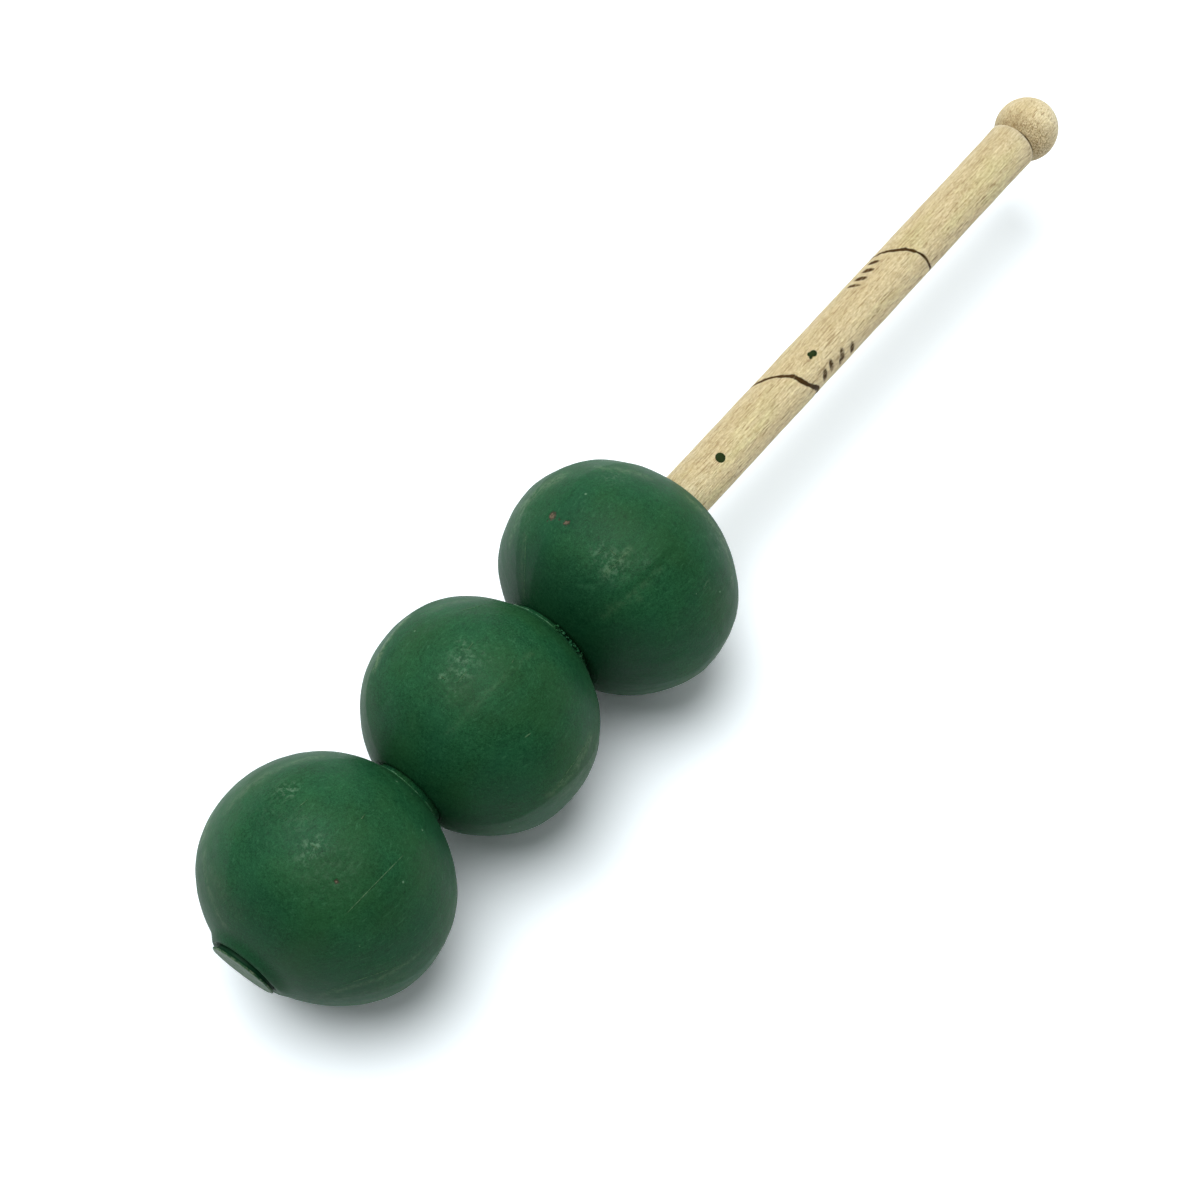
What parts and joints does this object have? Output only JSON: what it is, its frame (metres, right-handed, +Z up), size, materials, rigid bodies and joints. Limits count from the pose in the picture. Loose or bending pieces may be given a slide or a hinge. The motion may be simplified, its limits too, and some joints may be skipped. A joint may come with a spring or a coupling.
{
  "type": "seed pod rattle",
  "caption": "Hand rattle of hollow painted seed pods threaded on a turned wooden stick with a ball knob; loose seeds inside the pods roll round the stick and rattle when it is shaken.",
  "frame": {"origin": "middle of the part's box on the surface that the pods lie on", "axes": "+X along the stick towards the knob, +Z up"},
  "size_m": [0.3028, 0.0609, 0.0582],
  "materials": {
    "stick_wood": "bare, sanded",
    "pod_paint": "dried pod shell with satin green paint, brushed and worn",
    "cap_paint": "satin green paint",
    "joint_glue": "hardened glue under green paint",
    "seed_coat": "dry, smooth"
  },
  "bodies": {
    "rattle": {"handle_stick": "stick_wood", "tip_pod": "pod_paint", "middle_pod": "pod_paint", "handle_pod": "pod_paint", "tip_cap": "cap_paint", "tip_joint_bead": "joint_glue", "handle_joint_bead": "joint_glue"},
    "tip_pod_seed_1": {"tip_pod_seed_1": "seed_coat"},
    "tip_pod_seed_2": {"tip_pod_seed_2": "seed_coat"},
    "tip_pod_seed_3": {"tip_pod_seed_3": "seed_coat"},
    "tip_pod_seed_4": {"tip_pod_seed_4": "seed_coat"},
    "tip_pod_seed_5": {"tip_pod_seed_5": "seed_coat"},
    "tip_pod_seed_6": {"tip_pod_seed_6": "seed_coat"},
    "middle_pod_seed_1": {"middle_pod_seed_1": "seed_coat"},
    "middle_pod_seed_2": {"middle_pod_seed_2": "seed_coat"},
    "middle_pod_seed_3": {"middle_pod_seed_3": "seed_coat"},
    "middle_pod_seed_4": {"middle_pod_seed_4": "seed_coat"},
    "middle_pod_seed_5": {"middle_pod_seed_5": "seed_coat"},
    "middle_pod_seed_6": {"middle_pod_seed_6": "seed_coat"},
    "handle_pod_seed_1": {"handle_pod_seed_1": "seed_coat"},
    "handle_pod_seed_2": {"handle_pod_seed_2": "seed_coat"},
    "handle_pod_seed_3": {"handle_pod_seed_3": "seed_coat"},
    "handle_pod_seed_4": {"handle_pod_seed_4": "seed_coat"},
    "handle_pod_seed_5": {"handle_pod_seed_5": "seed_coat"},
    "handle_pod_seed_6": {"handle_pod_seed_6": "seed_coat"}
  },
  "joints": [
    {"name": "tip_pod_seed_1_roll", "type": "hinge", "parent": "rattle", "child": "tip_pod_seed_1", "pos_m": [-0.12264, 0.0008, 0.02911], "axis": [1, 0, 0], "continuous": true},
    {"name": "tip_pod_seed_2_roll", "type": "hinge", "parent": "rattle", "child": "tip_pod_seed_2", "pos_m": [-0.12264, 0.0008, 0.02911], "axis": [1, 0, 0], "continuous": true},
    {"name": "tip_pod_seed_3_roll", "type": "hinge", "parent": "rattle", "child": "tip_pod_seed_3", "pos_m": [-0.12264, 0.0008, 0.02911], "axis": [1, 0, 0], "continuous": true},
    {"name": "tip_pod_seed_4_roll", "type": "hinge", "parent": "rattle", "child": "tip_pod_seed_4", "pos_m": [-0.12264, 0.0008, 0.02911], "axis": [1, 0, 0], "continuous": true},
    {"name": "tip_pod_seed_5_roll", "type": "hinge", "parent": "rattle", "child": "tip_pod_seed_5", "pos_m": [-0.12264, 0.0008, 0.02911], "axis": [1, 0, 0], "continuous": true},
    {"name": "tip_pod_seed_6_roll", "type": "hinge", "parent": "rattle", "child": "tip_pod_seed_6", "pos_m": [-0.12264, 0.0008, 0.02911], "axis": [1, 0, 0], "continuous": true},
    {"name": "middle_pod_seed_1_roll", "type": "hinge", "parent": "rattle", "child": "middle_pod_seed_1", "pos_m": [-0.07166, 0.0008, 0.02911], "axis": [1, 0, 0], "continuous": true},
    {"name": "middle_pod_seed_2_roll", "type": "hinge", "parent": "rattle", "child": "middle_pod_seed_2", "pos_m": [-0.07166, 0.0008, 0.02911], "axis": [1, 0, 0], "continuous": true},
    {"name": "middle_pod_seed_3_roll", "type": "hinge", "parent": "rattle", "child": "middle_pod_seed_3", "pos_m": [-0.07166, 0.0008, 0.02911], "axis": [1, 0, 0], "continuous": true},
    {"name": "middle_pod_seed_4_roll", "type": "hinge", "parent": "rattle", "child": "middle_pod_seed_4", "pos_m": [-0.07166, 0.0008, 0.02911], "axis": [1, 0, 0], "continuous": true},
    {"name": "middle_pod_seed_5_roll", "type": "hinge", "parent": "rattle", "child": "middle_pod_seed_5", "pos_m": [-0.07166, 0.0008, 0.02911], "axis": [1, 0, 0], "continuous": true},
    {"name": "middle_pod_seed_6_roll", "type": "hinge", "parent": "rattle", "child": "middle_pod_seed_6", "pos_m": [-0.07166, 0.0008, 0.02911], "axis": [1, 0, 0], "continuous": true},
    {"name": "handle_pod_seed_1_roll", "type": "hinge", "parent": "rattle", "child": "handle_pod_seed_1", "pos_m": [-0.02444, -0.0008, 0.02911], "axis": [1, 0, 0], "continuous": true},
    {"name": "handle_pod_seed_2_roll", "type": "hinge", "parent": "rattle", "child": "handle_pod_seed_2", "pos_m": [-0.02444, -0.0008, 0.02911], "axis": [1, 0, 0], "continuous": true},
    {"name": "handle_pod_seed_3_roll", "type": "hinge", "parent": "rattle", "child": "handle_pod_seed_3", "pos_m": [-0.02444, -0.0008, 0.02911], "axis": [1, 0, 0], "continuous": true},
    {"name": "handle_pod_seed_4_roll", "type": "hinge", "parent": "rattle", "child": "handle_pod_seed_4", "pos_m": [-0.02444, -0.0008, 0.02911], "axis": [1, 0, 0], "continuous": true},
    {"name": "handle_pod_seed_5_roll", "type": "hinge", "parent": "rattle", "child": "handle_pod_seed_5", "pos_m": [-0.02444, -0.0008, 0.02911], "axis": [1, 0, 0], "continuous": true},
    {"name": "handle_pod_seed_6_roll", "type": "hinge", "parent": "rattle", "child": "handle_pod_seed_6", "pos_m": [-0.02444, -0.0008, 0.02911], "axis": [1, 0, 0], "continuous": true}
  ]
}
